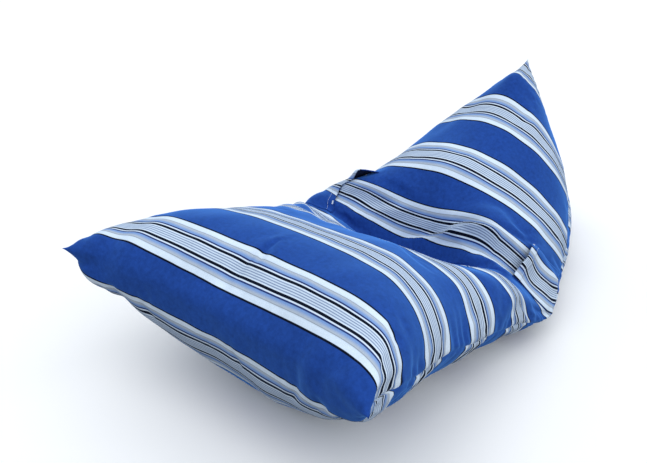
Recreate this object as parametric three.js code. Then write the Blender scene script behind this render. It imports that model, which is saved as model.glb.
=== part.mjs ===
// Outdoor pouf: a long striped cloth pouch, filled with beads.
//
// The pouch is folded at its front edge, sewn along both sides, and closed at
// the back by a seam that stands upright, at right angles to the front fold.
// Filled, it has four corners: two at the ends of the front fold, a high peak
// at the top of the back seam, and the foot of that seam on the ground.
// A person has sat in it, so the seat sinks to a deep crease in front of the
// back. A patch pocket is sewn on each flank beside the crease, with its mouth
// towards the seat.
//
// Millimetres, +Z up. +X is the right-hand side of someone who stands in front
// of the seat and faces the peak, and +Y runs from the front fold to the back.
// The origin lies on the ground, in the middle of the pouf's length and width.

import * as THREE from 'three';

// Driving dimensions
const LENGTH = 1805; // from the front corners to the foot of the back seam
const CORNER = { x: 425, y: 0, z: 340 }; // an end of the front fold
const FOLD_MIDDLE = { y: 57, z: 302 }; // the fold hangs back and down between its ends
const PEAK = { y: 1382, z: 579 }; // top of the back seam
const SEAM_FOOT = { y: LENGTH, z: 8 }; // bottom of the back seam
const SEAM_HOLLOW = 40; // how far the back seam bows in from a straight line
const POUCH_LENGTH = 1725; // cloth from the front fold to the back seam
const REST_DEPTH = 10; // how far the underside is pressed flat by the ground
const REST_FADE = 40; // height over which that flattening dies away

// Cross sections of the filled pouch. Each one is the ring that the cloth makes
// at one distance from the front fold. Columns:
//   run    cloth from the front fold to this ring
//   topY, topZ, footY, footZ   ends of the ring's middle line, before the dip
//   half   half of the ring's width
//   wide   height of the widest point, as a share of the middle line
//   crown, keel   roundness above and below the widest point (2 is an ellipse)
//   dip, reach   depth of the dent in the top, and its half width over half
//   bow    how far the sides stand forward of the middle
const COLUMNS = [
  'run', 'topY', 'topZ', 'footY', 'footZ', 'half', 'wide', 'crown', 'keel', 'dip', 'reach', 'bow',
];
const SECTIONS = [
  [80, 125, 380, 72, 220, 410, 0.72, 2.4, 3.2, 25, 0.9, 60],
  [180, 213, 420, 133, 108, 395, 0.66, 2.1, 2.1, 25, 0.9, 42],
  [340, 392, 450, 267, 0, 368, 0.58, 1.75, 1.8, 75, 1.05, 36],
  [560, 573, 402, 497, 0, 357, 0.42, 2.2, 1.7, 110, 1.1, 22],
  [740, 647, 300, 687, 0, 362, 0.53, 3.2, 2.5, 150, 0.9, 0],
  [870, 699, 298, 829, 0, 374, 0.45, 2.1, 3.2, 200, 1.0, 10],
  [960, 732, 335, 927, 0, 380, 0.32, 1.3, 2.8, 170, 0.7, 28],
  [1070, 775, 365, 1047, 0, 348, 0.26, 2.0, 2.2, 105, 0.7, 0],
  [1240, 960, 390, 1243, 0, 305, 0.4, 1.9, 2.9, -10, 0.9, 20],
  [1420, 1147, 458, 1443, 0, 233, 0.52, 2.1, 3.3, -8, 0.9, 30],
  [1570, 1289, 524, 1619, 0, 158, 0.45, 1.9, 3.3, -22, 0.8, 60],
  [1660, 1342, 562, 1729, 0, 100, 0.4, 1.6, 3.0, 0, 0.8, 85],
].map((row) => Object.fromEntries(COLUMNS.map((name, column) => [name, row[column]])));
const FIRST_RUN = SECTIONS[0].run;
const LAST_RUN = SECTIONS[SECTIONS.length - 1].run;
const FOLD_FULLNESS = 0.75; // roundness of the front below and above the fold
const SEAM_FULLNESS = 1.2; // roundness of the flanks where they meet the back seam

// Patch pockets. The mouth of each pocket crosses the stripes from its low end
// near the crease to its high end on the back, and the other three edges are
// sewn down, the outer one in the side seam.
const POCKET_LOW_RUN = 935; // cloth from the front fold to the pocket's front edge
const POCKET_HIGH_RUN = 1095; // and to its back edge
const POCKET_THICKNESS = 2;
const SEWN_GAP = 0.3; // between a sewn edge and the cloth under it
// Columns: side (1 right, -1 left); low and high, the mouth's ends as shares of
// the half ring from the middle of the seat; gape, how far the mouth stands off;
// apex, where along the mouth it stands off most.
const POCKETS = [
  { name: 'pocket_right', side: 1, low: 0.36, high: 0.36, gape: 34, apex: 0.5 },
  { name: 'pocket_left', side: -1, low: 0.33, high: 0.22, gape: 38, apex: 0.6 },
];
const POCKET_COLUMNS = 6; // facets between a pocket's mouth and the side seam
const SEAT_COLUMNS = 8; // facets between the middle of the seat and the mouth's line
const PLAIN_SHARE = 0.36; // where the mouth's line runs, away from the pockets
const SEAM_SHARE = 0.5; // the side seam halves each half ring
const POCKET_STEPS = 8; // rings that cross a pocket

// Rings of the mesh, as stretches of cloth with a number of steps each.
const RING_STRETCHES = [
  { to: FIRST_RUN, steps: 6 },
  { to: 740, steps: 20 },
  { to: POCKET_LOW_RUN, steps: 9 },
  { to: POCKET_HIGH_RUN, steps: POCKET_STEPS },
  { to: LAST_RUN, steps: 18 },
  { to: POUCH_LENGTH, steps: 5 },
];
const CURVE_STEPS = 60; // fine steps on each quarter of a section before it is divided
const SLOPE_STEP = 4; // cloth length over which a slope along the pouf is measured

// Colours: the cloth is striped, and the mean of its blue and white is used here
const CLOTH = { color: 0x5f83c4, roughness: 0.85, metalness: 0 };
const POCKET_CLOTH = { color: 0x7b9bd6, roughness: 0.85, metalness: 0 };

// Smooth interpolation that never overshoots its rows
function rowSlopes(rows, name) {
  const steps = rows.slice(1).map((row, i) => (row[name] - rows[i][name]) / (row.run - rows[i].run));
  const widths = rows.slice(1).map((row, i) => row.run - rows[i].run);
  const inner = steps.slice(1).map((step, i) => {
    const before = steps[i];
    if (before * step <= 0) {
      return 0;
    }
    const a = 2 * widths[i + 1] + widths[i];
    const b = widths[i + 1] + 2 * widths[i];
    return (a + b) / (a / before + b / step);
  });
  return [steps[0], ...inner, steps[steps.length - 1]];
}

function hermite(start, startSlope, end, endSlope, u) {
  const rise = u * u * (3 - 2 * u);
  return (1 - rise) * start + rise * end
    + u * (1 - u) * ((1 - u) * startSlope - u * endSlope);
}

function smoothTable(rows) {
  const names = Object.keys(rows[0]).filter((name) => name !== 'run');
  const slopes = Object.fromEntries(names.map((name) => [name, rowSlopes(rows, name)]));
  return (run) => {
    const last = rows.length - 2;
    const i = Math.max(0, Math.min(last, rows.findIndex((row) => row.run > run) - 1));
    const at = rows[rows.length - 1].run <= run ? last : i;
    const width = rows[at + 1].run - rows[at].run;
    const u = Math.max(0, Math.min(1, (run - rows[at].run) / width));
    const value = (name) => hermite(
      rows[at][name],
      slopes[name][at] * width,
      rows[at + 1][name],
      slopes[name][at + 1] * width,
      u,
    );
    return Object.fromEntries(names.map((name) => [name, value(name)]));
  };
}

const sectionAt = smoothTable(SECTIONS);

// One half of a ring, from the middle of the seat, round the flank, to the
// middle of the underside, as fine steps on the right-hand side
function sectionCurve(run) {
  const s = sectionAt(run);
  const foot = new THREE.Vector3(0, s.footY, s.footZ);
  const middle = new THREE.Vector3(0, s.topY, s.topZ).sub(foot);
  const height = middle.length();
  const up = middle.clone().normalize();
  const forward = new THREE.Vector3(0, -up.z, up.y);
  const place = (across, along, isTop) => {
    const dent = Math.min(1, across / (s.reach * s.half));
    const drop = isTop ? s.dip * (1 - dent * dent) ** 2 : 0;
    const lean = s.bow * (across / s.half) ** 2;
    return foot.clone()
      .addScaledVector(up, along - drop)
      .addScaledVector(forward, lean)
      .setX(across);
  };
  const points = [];
  for (let i = 0; i <= CURVE_STEPS; i += 1) {
    const angle = (Math.PI / 2) * (i / CURVE_STEPS);
    const across = s.half * Math.sin(angle) ** (2 / s.crown);
    const rise = Math.abs(Math.cos(angle)) ** (2 / s.crown);
    points.push(place(across, height * (s.wide + (1 - s.wide) * rise), true));
  }
  for (let i = 1; i <= CURVE_STEPS; i += 1) {
    const angle = (Math.PI / 2) * (i / CURVE_STEPS);
    const across = s.half * Math.abs(Math.cos(angle)) ** (2 / s.keel);
    const fall = Math.sin(angle) ** (2 / s.keel);
    points.push(place(across, height * s.wide * (1 - fall), false));
  }
  return points;
}

// Points of a curve at given shares of its length
function divide(points, shares) {
  const lengths = [0];
  for (let i = 1; i < points.length; i += 1) {
    lengths.push(lengths[i - 1] + points[i].distanceTo(points[i - 1]));
  }
  const whole = lengths[lengths.length - 1];
  return shares.map((share) => {
    const wanted = share * whole;
    const next = Math.max(1, lengths.findIndex((length) => length >= wanted - 1e-9));
    const part = (wanted - lengths[next - 1]) / (lengths[next] - lengths[next - 1]);
    return points[next - 1].clone().lerp(points[next], part);
  });
}

function foldPoint(share) {
  const out = 1 - Math.abs(1 - 2 * share);
  return new THREE.Vector3(
    CORNER.x * out,
    FOLD_MIDDLE.y + (CORNER.y - FOLD_MIDDLE.y) * out * out,
    FOLD_MIDDLE.z + (CORNER.z - FOLD_MIDDLE.z) * out * out,
  );
}

function backSeamPoint(share) {
  const along = new THREE.Vector3(0, SEAM_FOOT.y - PEAK.y, SEAM_FOOT.z - PEAK.z);
  const outward = new THREE.Vector3(0, -along.z, along.y).normalize();
  return new THREE.Vector3(0, PEAK.y, PEAK.z)
    .addScaledVector(along, share)
    .addScaledVector(outward, -SEAM_HOLLOW * 4 * share * (1 - share));
}

function blend(start, startSlope, end, endSlope, u) {
  return new THREE.Vector3(
    hermite(start.x, startSlope.x, end.x, endSlope.x, u),
    hermite(start.y, startSlope.y, end.y, endSlope.y, u),
    hermite(start.z, startSlope.z, end.z, endSlope.z, u),
  );
}

// The ground presses the lowest part of the cloth flat
function settle(point) {
  const pressed = point.z - REST_DEPTH * Math.exp(-point.z / REST_FADE);
  return point.setZ(Math.max(0, pressed));
}

// Half a ring at any distance along the cloth, at the given shares of its length
function halfRing(run, shares) {
  if (run < FIRST_RUN) {
    const ring = divide(sectionCurve(FIRST_RUN), shares);
    const beyond = divide(sectionCurve(FIRST_RUN + SLOPE_STEP), shares);
    const u = run / FIRST_RUN;
    return shares.map((share, i) => {
      const opposite = ring[shares.length - 1 - i];
      const side = Math.sign(0.5 - share);
      const fullness = FOLD_FULLNESS * side * ring[i].distanceTo(opposite);
      const start = foldPoint(share);
      const startSlope = new THREE.Vector3(0, 0, fullness);
      const endSlope = beyond[i].sub(ring[i]).multiplyScalar(FIRST_RUN / SLOPE_STEP);
      return settle(blend(start, startSlope, ring[i], endSlope, u));
    });
  }
  if (run > LAST_RUN) {
    const ring = divide(sectionCurve(LAST_RUN), shares);
    const before = divide(sectionCurve(LAST_RUN - SLOPE_STEP), shares);
    const stretch = POUCH_LENGTH - LAST_RUN;
    return shares.map((share, i) => {
      const startSlope = ring[i].clone().sub(before[i]).multiplyScalar(stretch / SLOPE_STEP);
      const endSlope = new THREE.Vector3(-SEAM_FULLNESS * ring[i].x, 0, 0);
      const u = (run - LAST_RUN) / stretch;
      return settle(blend(ring[i], startSlope, backSeamPoint(share), endSlope, u));
    });
  }
  return divide(sectionCurve(run), shares).map(settle);
}

// The line of the pocket's mouth on one side, carried along the whole pouf
function mouthLine(pocket) {
  return smoothTable([
    { run: 0, share: PLAIN_SHARE },
    { run: 740, share: PLAIN_SHARE },
    { run: POCKET_LOW_RUN, share: pocket.low },
    { run: POCKET_HIGH_RUN, share: pocket.high },
    { run: LAST_RUN, share: PLAIN_SHARE },
    { run: POUCH_LENGTH, share: PLAIN_SHARE },
  ]);
}

// Shares of the columns of one half ring. The lower half mirrors the upper, so
// that both meet at the front fold.
function columnShares(mouth) {
  const upper = [];
  for (let i = 0; i < SEAT_COLUMNS; i += 1) {
    upper.push((mouth * i) / SEAT_COLUMNS);
  }
  for (let i = 0; i <= POCKET_COLUMNS; i += 1) {
    upper.push(mouth + ((SEAM_SHARE - mouth) * i) / POCKET_COLUMNS);
  }
  const lower = upper.slice(0, -1).reverse().map((share) => 1 - share);
  return [...upper, ...lower];
}

function ringRuns() {
  const runs = [0];
  for (const { to, steps } of RING_STRETCHES) {
    const from = runs[runs.length - 1];
    for (let i = 1; i <= steps; i += 1) {
      runs.push(from + ((to - from) * i) / steps);
    }
  }
  return runs;
}

const RUNS = ringRuns();
const HALF_COLUMNS = 2 * (SEAT_COLUMNS + POCKET_COLUMNS);

// Points of one flank, ring by ring, from the middle of the seat to the middle
// of the underside
function flank(pocket) {
  const mouthAt = mouthLine(pocket);
  return RUNS.map((run) => halfRing(run, columnShares(mouthAt(run).share))
    .map((point) => point.setX(point.x * pocket.side)));
}

function geometryOf(points, faces) {
  const geometry = new THREE.BufferGeometry();
  geometry.setFromPoints(points);
  geometry.setIndex(faces.flat());
  geometry.computeVertexNormals();
  return geometry;
}

// Two triangles for the facet a, b, c, d, split from b to d or from a to c. The
// left flank mirrors the right, so its triangles run the other way round.
function facet(side, isSplitFromB, a, b, c, d) {
  const triangles = isSplitFromB ? [[a, b, d], [b, c, d]] : [[a, b, c], [a, c, d]];
  return side > 0 ? triangles : triangles.map(([p, q, r]) => [p, r, q]);
}

// A facet of a flank is split along its shorter diagonal. Beside the front fold
// and the back seam the split leans away from the corners of the pouf, because
// two facets that meet at a corner would otherwise share one diagonal.
function isSplitOutward(flankPoints, r, c) {
  if (r === 0 || r === RUNS.length - 2) {
    return c < HALF_COLUMNS / 2;
  }
  const outward = flankPoints[r][c + 1].distanceTo(flankPoints[r + 1][c]);
  const inward = flankPoints[r][c].distanceTo(flankPoints[r + 1][c + 1]);
  return outward < inward;
}

// Name of the point at one place of the mesh. The flanks share their middle
// lines and the back seam, and at the front fold the seat meets the underside.
function pointName(side, r, c) {
  const column = r === 0 ? Math.min(c, HALF_COLUMNS - c) : c;
  const isShared = column === 0 || column === HALF_COLUMNS || r === RUNS.length - 1;
  return `${isShared ? 'middle' : side} ${r} ${column}`;
}

// The filled pouch
function bodyGeometry(flanks) {
  const points = [];
  const numbers = new Map();
  const numberOf = (side, flankPoints, r, c) => {
    const name = pointName(side, r, c);
    if (!numbers.has(name)) {
      numbers.set(name, points.length);
      points.push(flankPoints[r][c]);
    }
    return numbers.get(name);
  };
  const triangles = [];
  POCKETS.forEach(({ side }, i) => {
    for (let r = 0; r + 1 < RUNS.length; r += 1) {
      for (let c = 0; c < HALF_COLUMNS; c += 1) {
        const corners = [[r, c], [r, c + 1], [r + 1, c + 1], [r + 1, c]]
          .map(([ring, column]) => numberOf(side, flanks[i], ring, column));
        triangles.push(...facet(side, isSplitOutward(flanks[i], r, c), ...corners));
      }
    }
  });
  return geometryOf(points, triangles);
}

// Outward directions of a flank's points, from its neighbours
function outwardAt(flankPoints, side, r, c) {
  const alongRun = flankPoints[r + 1][c].clone().sub(flankPoints[r - 1][c]);
  const across = flankPoints[r][c + 1].clone().sub(flankPoints[r][c - 1]);
  return alongRun.cross(across).multiplyScalar(-side).normalize();
}

// How far a pocket stands off the flank: nothing at the three sewn edges, and
// most at the apex of the mouth
function gapeAt(pocket, along, inward) {
  const skew = Math.log(0.5) / Math.log(pocket.apex);
  const lift = Math.sin(Math.PI * along ** skew) ** 1.3;
  const depth = (1 - inward) ** 1.2 * (1 + 0.6 * inward);
  return SEWN_GAP + pocket.gape * lift * depth;
}

// A patch of cloth over the flank's own facets, lifted where the mouth gapes
function pocketGeometry(pocket, flankPoints) {
  const firstRing = RUNS.findIndex((run) => Math.abs(run - POCKET_LOW_RUN) < 1e-6);
  const rows = POCKET_STEPS + 1;
  const columns = POCKET_COLUMNS + 1;
  const points = [];
  for (const layer of [0, POCKET_THICKNESS]) {
    for (let i = 0; i < rows; i += 1) {
      for (let j = 0; j < columns; j += 1) {
        const r = firstRing + i;
        const c = SEAT_COLUMNS + j;
        const outward = outwardAt(flankPoints, pocket.side, r, c);
        const lift = gapeAt(pocket, i / (rows - 1), j / (columns - 1)) + layer;
        points.push(flankPoints[r][c].clone().addScaledVector(outward, lift));
      }
    }
  }
  const at = (layer, i, j) => layer * rows * columns + i * columns + j;
  const triangles = [];
  const add = (isSplitFromB, ...corners) => {
    triangles.push(...facet(pocket.side, isSplitFromB, ...corners));
  };
  for (let i = 0; i + 1 < rows; i += 1) {
    for (let j = 0; j + 1 < columns; j += 1) {
      const split = isSplitOutward(flankPoints, firstRing + i, SEAT_COLUMNS + j);
      add(split, at(1, i, j), at(1, i, j + 1), at(1, i + 1, j + 1), at(1, i + 1, j));
      add(split, at(0, i, j), at(0, i + 1, j), at(0, i + 1, j + 1), at(0, i, j + 1));
    }
    const last = columns - 1;
    add(false, at(0, i, 0), at(1, i, 0), at(1, i + 1, 0), at(0, i + 1, 0));
    add(false, at(0, i + 1, last), at(1, i + 1, last), at(1, i, last), at(0, i, last));
  }
  for (let j = 0; j + 1 < columns; j += 1) {
    const last = rows - 1;
    add(false, at(0, 0, j + 1), at(1, 0, j + 1), at(1, 0, j), at(0, 0, j));
    add(false, at(0, last, j), at(1, last, j), at(1, last, j + 1), at(0, last, j + 1));
  }
  return geometryOf(points, triangles);
}

function piece(name, geometry, finish) {
  const mesh = new THREE.Mesh(geometry, new THREE.MeshStandardMaterial(finish));
  mesh.name = name;
  return mesh;
}

const flanks = POCKETS.map(flank);
const pouf = new THREE.Group();
pouf.position.y = -LENGTH / 2;
pouf.add(piece('pouf_body', bodyGeometry(flanks), CLOTH));
POCKETS.forEach((pocket, i) => {
  pouf.add(piece(pocket.name, pocketGeometry(pocket, flanks[i]), POCKET_CLOTH));
});

export default pouf;
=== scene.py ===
# %% [markdown]
# # A bead-filled outdoor pouf
#
# The real thing is one long piece of striped outdoor cloth. It is folded at the
# front edge, sewn down both sides, filled with light beads, and closed at the
# back by a seam that stands upright, at right angles to the front fold. That
# one turn of the last seam gives it four corners: two in front, a high peak,
# and a foot on the ground. A patch pocket is sewn on each flank.
#
# The measured solids are loaded first. Everything else is made round them, in
# metres, in the same frame.

# %% Load the solids
import math

import bpy
import numpy as np
from mathutils import Matrix, Vector


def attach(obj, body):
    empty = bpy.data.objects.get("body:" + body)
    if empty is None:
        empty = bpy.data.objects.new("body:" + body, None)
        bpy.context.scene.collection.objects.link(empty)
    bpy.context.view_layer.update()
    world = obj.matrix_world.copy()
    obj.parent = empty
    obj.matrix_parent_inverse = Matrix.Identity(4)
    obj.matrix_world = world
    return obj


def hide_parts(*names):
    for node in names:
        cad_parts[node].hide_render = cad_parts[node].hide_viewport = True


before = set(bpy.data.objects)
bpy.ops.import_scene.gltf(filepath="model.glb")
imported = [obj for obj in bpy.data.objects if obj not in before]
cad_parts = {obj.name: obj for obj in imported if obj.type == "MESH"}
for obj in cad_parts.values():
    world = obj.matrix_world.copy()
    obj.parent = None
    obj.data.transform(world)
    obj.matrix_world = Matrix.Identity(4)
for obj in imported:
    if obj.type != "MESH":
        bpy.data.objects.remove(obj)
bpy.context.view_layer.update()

# %% [markdown]
# ## Camera
#
# The camera comes first, because every later look is judged through it. It
# stands in front of the seat and to its right, about two metres away, and looks
# down towards the crease. Its focal length is given in pixels of a frame 647
# pixels wide, which is how it was fitted to the run of the stripes.

# %% Camera
IMAGE_WIDTH = 647
FOCAL_PIXELS = 691.6
SENSOR_WIDTH = 36.0
CAMERA_AZIMUTH = math.radians(39.95)
CAMERA_ELEVATION = math.radians(27.0)
CAMERA_DISTANCE = 1.935
CAMERA_TARGET = Vector((-0.2154, -0.2458, 0.1940))


def add_camera():
    """A camera that looks at the target from the named angles and distance."""
    back = Vector((
        math.sin(CAMERA_AZIMUTH) * math.cos(CAMERA_ELEVATION),
        -math.cos(CAMERA_AZIMUTH) * math.cos(CAMERA_ELEVATION),
        math.sin(CAMERA_ELEVATION),
    ))
    data = bpy.data.cameras.new("camera")
    data.sensor_width = SENSOR_WIDTH
    data.lens = FOCAL_PIXELS / IMAGE_WIDTH * SENSOR_WIDTH
    camera = bpy.data.objects.new("camera", data)
    camera.location = CAMERA_TARGET + back * CAMERA_DISTANCE
    camera.rotation_mode = "QUATERNION"
    camera.rotation_quaternion = (-back).to_track_quat("-Z", "Y")
    bpy.context.collection.objects.link(camera)
    bpy.context.scene.camera = camera
    return camera


camera = add_camera()
print("lens", round(camera.data.lens, 2), "mm at", list(camera.location))

# %% [markdown]
# ## The shape of the filled pouch
#
# The stripes run across the cloth, so each stripe is a ring that lies at one
# distance from the front fold. That distance, measured along the cloth, is
# called the run here. The filled shape is given by a short table of such rings:
# where the ring's middle line stands, how wide the ring is, and how round its
# upper and lower halves are. Between the rows every value follows a smooth
# curve that never overshoots. The same table makes the solids, so the cloth
# lies where they do. Lengths in the table are in millimetres.

# %% The table of rings
MM = 0.001
LENGTH = 1805 * MM
POUCH_LENGTH = 1725 * MM
HALF_CLOTH = 445 * MM
COLUMNS = (
    "run", "top_y", "top_z", "foot_y", "foot_z", "half", "wide", "crown", "keel",
    "dip", "reach", "bow",
)
SHARES = ("wide", "crown", "keel", "reach")
SECTIONS = (
    (80, 125, 380, 72, 220, 410, 0.72, 2.4, 3.2, 25, 0.9, 60),
    (180, 213, 420, 133, 108, 395, 0.66, 2.1, 2.1, 25, 0.9, 42),
    (340, 392, 450, 267, 0, 368, 0.58, 1.75, 1.8, 75, 1.05, 36),
    (560, 573, 402, 497, 0, 357, 0.42, 2.2, 1.7, 110, 1.1, 22),
    (740, 647, 300, 687, 0, 362, 0.53, 3.2, 2.5, 150, 0.9, 0),
    (870, 699, 298, 829, 0, 374, 0.45, 2.1, 3.2, 200, 1.0, 10),
    (960, 732, 335, 927, 0, 380, 0.32, 1.3, 2.8, 170, 0.7, 28),
    (1070, 775, 365, 1047, 0, 348, 0.26, 2.0, 2.2, 105, 0.7, 0),
    (1240, 960, 390, 1243, 0, 305, 0.4, 1.9, 2.9, -10, 0.9, 20),
    (1420, 1147, 458, 1443, 0, 233, 0.52, 2.1, 3.3, -8, 0.9, 30),
    (1570, 1289, 524, 1619, 0, 158, 0.45, 1.9, 3.3, -22, 0.8, 60),
    (1660, 1342, 562, 1729, 0, 100, 0.4, 1.6, 3.0, 0, 0.8, 85),
)
TABLE = {
    name: np.array([row[i] for row in SECTIONS]) * (1 if name in SHARES else MM)
    for i, name in enumerate(COLUMNS)
}
FIRST_RUN = TABLE["run"][0]
LAST_RUN = TABLE["run"][-1]
print(len(SECTIONS), "rings from", FIRST_RUN, "to", LAST_RUN)


# %% Smooth values between the rows
CREASE_RUN = 940 * MM


def row_slopes(places, values):
    """Slopes at the rows that keep the curve between them from overshooting."""
    widths = np.diff(places)
    steps = np.diff(values) / widths
    a = 2 * widths[1:] + widths[:-1]
    b = widths[1:] + 2 * widths[:-1]
    before, after = steps[:-1], steps[1:]
    turning = before * after <= 0
    with np.errstate(divide="ignore", invalid="ignore"):
        inner = np.where(turning, 0, (a + b) / (a / before + b / after))
    return np.concatenate([steps[:1], inner, steps[-1:]])


def hermite(start, start_slope, end, end_slope, u):
    """The cubic from start to end with those slopes, at share u of the way."""
    rise = u * u * (3 - 2 * u)
    bend = u * (1 - u) * ((1 - u) * start_slope - u * end_slope)
    return (1 - rise) * start + rise * end + bend


def smooth_value(places, values, at):
    """The smooth curve through a table's rows, at one place or many."""
    places, values = np.asarray(places, float), np.asarray(values, float)
    slopes = row_slopes(places, values)
    i = np.clip(np.searchsorted(places, at, side="right") - 1, 0, len(places) - 2)
    width = places[i + 1] - places[i]
    u = np.clip((at - places[i]) / width, 0, 1)
    return hermite(values[i], slopes[i] * width, values[i + 1], slopes[i + 1] * width, u)


half_width = float(smooth_value(TABLE["run"], TABLE["half"], CREASE_RUN))
print("half width at the crease", round(half_width, 4))

# %% [markdown]
# ## Rings, the front fold and the back seam
#
# Each ring is a rounded outline about its middle line, with a dent in the top
# where the seat has sunk. In front of the first ring the cloth curves round to
# the fold, and behind the last ring both flanks close on the upright seam. The
# weight of the beads presses the underside flat on the ground.

# %% One ring of cloth
# fine steps on each quarter of a ring, and the cloth over which a slope is measured
CURVE_STEPS = 60
SLOPE_STEP = 4 * MM
# an end of the front fold, the fold's middle, and the two ends of the back seam
CORNER = np.array((425, 0, 340)) * MM
FOLD_MIDDLE = np.array((0, 57, 302)) * MM
PEAK = np.array((0, 1382, 579)) * MM
SEAM_FOOT = np.array((0, LENGTH, 8 * MM))
# how far the back seam bows in, and how full the cloth is beside the fold and the seam
SEAM_HOLLOW = 40 * MM
FOLD_FULLNESS = 0.75
SEAM_FULLNESS = 1.2
# how far the ground presses the underside up, and the height over which that dies away
REST_DEPTH = 10 * MM
REST_FADE = 40 * MM


def section_curve(run):
    """Fine points of half a ring, from the seat round the right flank to the underside."""
    s = {name: float(smooth_value(TABLE["run"], TABLE[name], run)) for name in COLUMNS[1:]}
    foot = np.array((0, s["foot_y"], s["foot_z"]))
    middle = np.array((0, s["top_y"], s["top_z"])) - foot
    height = np.linalg.norm(middle)
    up = middle / height
    forward = np.array((0, -up[2], up[1]))
    angle = np.linspace(0, math.pi / 2, CURVE_STEPS + 1)
    sine, cosine = np.sin(angle), np.abs(np.cos(angle))
    rise = s["wide"] + (1 - s["wide"]) * cosine ** (2 / s["crown"])
    fall = s["wide"] * (1 - sine ** (2 / s["keel"]))
    across = s["half"] * np.concatenate([sine ** (2 / s["crown"]), cosine[1:] ** (2 / s["keel"])])
    along = height * np.concatenate([rise, fall[1:]])
    dent = np.minimum(1, across / (s["reach"] * s["half"]))
    drop = s["dip"] * (1 - dent**2) ** 2
    drop[CURVE_STEPS + 1:] = 0
    lean = s["bow"] * (across / s["half"]) ** 2
    points = foot + np.outer(along - drop, up) + np.outer(lean, forward)
    points[:, 0] = across
    return points


def lengths_along(points):
    """How far along a line each of its points lies."""
    steps = np.linalg.norm(np.diff(points, axis=0), axis=1)
    return np.concatenate([[0], np.cumsum(steps)])


def divide(points, shares):
    """Points of a curve at the given shares of its length."""
    lengths = lengths_along(points)
    wanted = np.asarray(shares) * lengths[-1]
    return np.stack([np.interp(wanted, lengths, points[:, i]) for i in range(3)], axis=-1)


def fold_points(shares):
    """The front fold, which hangs back and down between its two corners."""
    out = (1 - np.abs(1 - 2 * np.asarray(shares)))[:, None]
    points = FOLD_MIDDLE + (CORNER - FOLD_MIDDLE) * out**2
    points[:, 0] = CORNER[0] * out[:, 0]
    return points


def back_seam_points(shares):
    """The upright seam from the peak to its foot."""
    along = SEAM_FOOT - PEAK
    outward = np.array((0, -along[2], along[1])) / np.linalg.norm(along)
    share = np.asarray(shares)[:, None]
    return PEAK + along * share - outward * SEAM_HOLLOW * 4 * share * (1 - share)


def settle(points):
    """The ground presses the lowest part of the cloth flat."""
    height = points[:, 2]
    pressed = height - REST_DEPTH * np.exp(-height / REST_FADE)
    points[:, 2] = np.maximum(0, pressed)
    return points


def half_ring(run, shares):
    """Points of the right flank at any run, at the given shares of the half ring."""
    shares = np.asarray(shares)
    if run < FIRST_RUN:
        ring = divide(section_curve(FIRST_RUN), shares)
        slope = (divide(section_curve(FIRST_RUN + SLOPE_STEP), shares) - ring) / SLOPE_STEP
        opposite = divide(section_curve(FIRST_RUN), 1 - shares)
        gap = np.linalg.norm(ring - opposite, axis=1)
        start_slope = np.outer(FOLD_FULLNESS * np.sign(0.5 - shares) * gap, (0, 0, 1))
        u = run / FIRST_RUN
        return settle(hermite(fold_points(shares), start_slope, ring, slope * FIRST_RUN, u))
    if run > LAST_RUN:
        stretch = POUCH_LENGTH - LAST_RUN
        ring = divide(section_curve(LAST_RUN), shares)
        slope = (ring - divide(section_curve(LAST_RUN - SLOPE_STEP), shares)) / SLOPE_STEP
        end_slope = np.outer(-SEAM_FULLNESS * ring[:, 0], (1, 0, 0))
        u = (run - LAST_RUN) / stretch
        return settle(hermite(ring, slope * stretch, back_seam_points(shares), end_slope, u))
    return settle(divide(section_curve(run), shares))


print("front corner", half_ring(0, [0.5])[0], "peak", half_ring(POUCH_LENGTH, [0])[0])

# %% [markdown]
# ## A grid of cloth
#
# The skin is a grid whose rows are rings and whose columns run from the middle
# of the seat, over the side seam, to the middle of the underside. One grid
# covers each flank. It closes on itself at the front fold, and the two are
# joined along the middle lines and the back seam. Because the grid is the cloth
# itself, its two directions are also the texture's, and a stripe can be painted
# by its run.
#
# Someone has turned the cloth a little towards the near side at the back, so
# the side seams don't stay half way round.

# %% Rows and columns
RING_STEP = 12 * MM
# rings between the front fold and the first row of the table, and behind the last row
END_STEPS = 8
# columns between the middle of the seat and the side seam
SEAT_COLUMNS = 40
# where the side seams lie, as shares of the half ring, on the right (1) and left (-1)
SEAM_RUNS = np.array((0, 400, 820, 1300, 1725)) * MM
SEAM_SHARES = {1: (0.5, 0.5, 0.56, 0.55, 0.5), -1: (0.5, 0.5, 0.47, 0.47, 0.5)}
SIDES = (1, -1)


def even_runs(start, end, steps):
    """Evenly spaced runs after the start, up to the end."""
    return list(np.linspace(start, end, steps + 1)[1:])


RUNS = np.array(
    [0.0]
    + even_runs(0, FIRST_RUN, END_STEPS)
    + even_runs(FIRST_RUN, LAST_RUN, round((LAST_RUN - FIRST_RUN) / RING_STEP))
    + even_runs(LAST_RUN, POUCH_LENGTH, END_STEPS)
)


def seam_share(side, run):
    """Where the side seam lies, as a share of the half ring."""
    return smooth_value(SEAM_RUNS, SEAM_SHARES[side], run)


def column_shares(side, run, seat_columns):
    """Shares of the half ring, evenly spaced on both sides of the side seam."""
    seam = float(seam_share(side, run))
    seat = np.linspace(0, seam, seat_columns + 1)
    return np.concatenate([seat, np.linspace(seam, 1, seat_columns + 1)[1:]])


def cloth_grid(runs, seat_columns):
    """Places of the cloth: side, ring, column, and the three coordinates."""
    grid = np.array([
        [half_ring(run, column_shares(side, run, seat_columns)) for run in runs]
        for side in SIDES
    ])
    grid[1, :, :, 0] *= -1
    grid[..., 1] -= LENGTH / 2
    return grid


CORNERS = np.array((CORNER, CORNER * (-1, 1, 1), PEAK, SEAM_FOOT)) - (0, LENGTH / 2, 0)


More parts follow.
